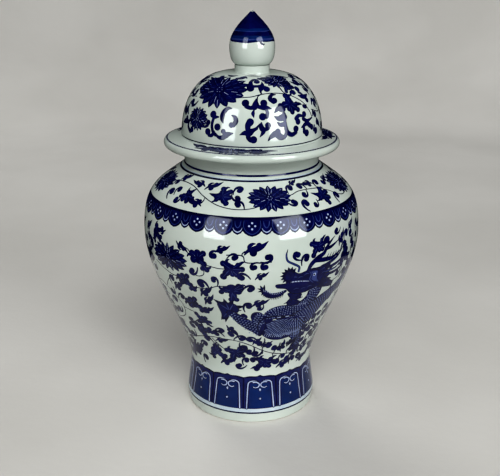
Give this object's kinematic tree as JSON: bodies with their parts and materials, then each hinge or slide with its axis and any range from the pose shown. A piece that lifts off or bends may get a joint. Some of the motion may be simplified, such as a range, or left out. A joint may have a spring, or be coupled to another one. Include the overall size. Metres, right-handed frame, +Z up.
{
  "type": "ginger jar",
  "caption": "Baluster porcelain jar with a flared foot, high shoulder and straight neck, closed by a domed lid with a wide flange and a pointed bud finial.",
  "frame": {"origin": "centre of the foot ring's resting plane, on the jar's axis", "axes": "+Z up along the jar's axis of revolution; -Y is the side shown in front, with the dragon; +X to its right"},
  "size_m": [0.2116, 0.2116, 0.3935],
  "materials": {
    "white_glaze": "glossy, faintly green white glaze",
    "bare_porcelain": "matt unglazed porcelain",
    "cobalt_blue": "glossy cobalt blue under the glaze"
  },
  "bodies": {
    "jar": {"foot_ring": "white_glaze", "lower_body": "white_glaze", "upper_body": "white_glaze", "neck_ring": "white_glaze"},
    "lid": {"lid_flange": "white_glaze", "lid_locating_ring": "bare_porcelain", "lid_dome": "white_glaze", "finial_collar": "white_glaze", "finial": "cobalt_blue"}
  },
  "joints": [
    {"name": "lid_lift", "type": "slide", "parent": "jar", "child": "lid", "axis": [0, 0, 1], "range_m": [0, 0.15]}
  ]
}
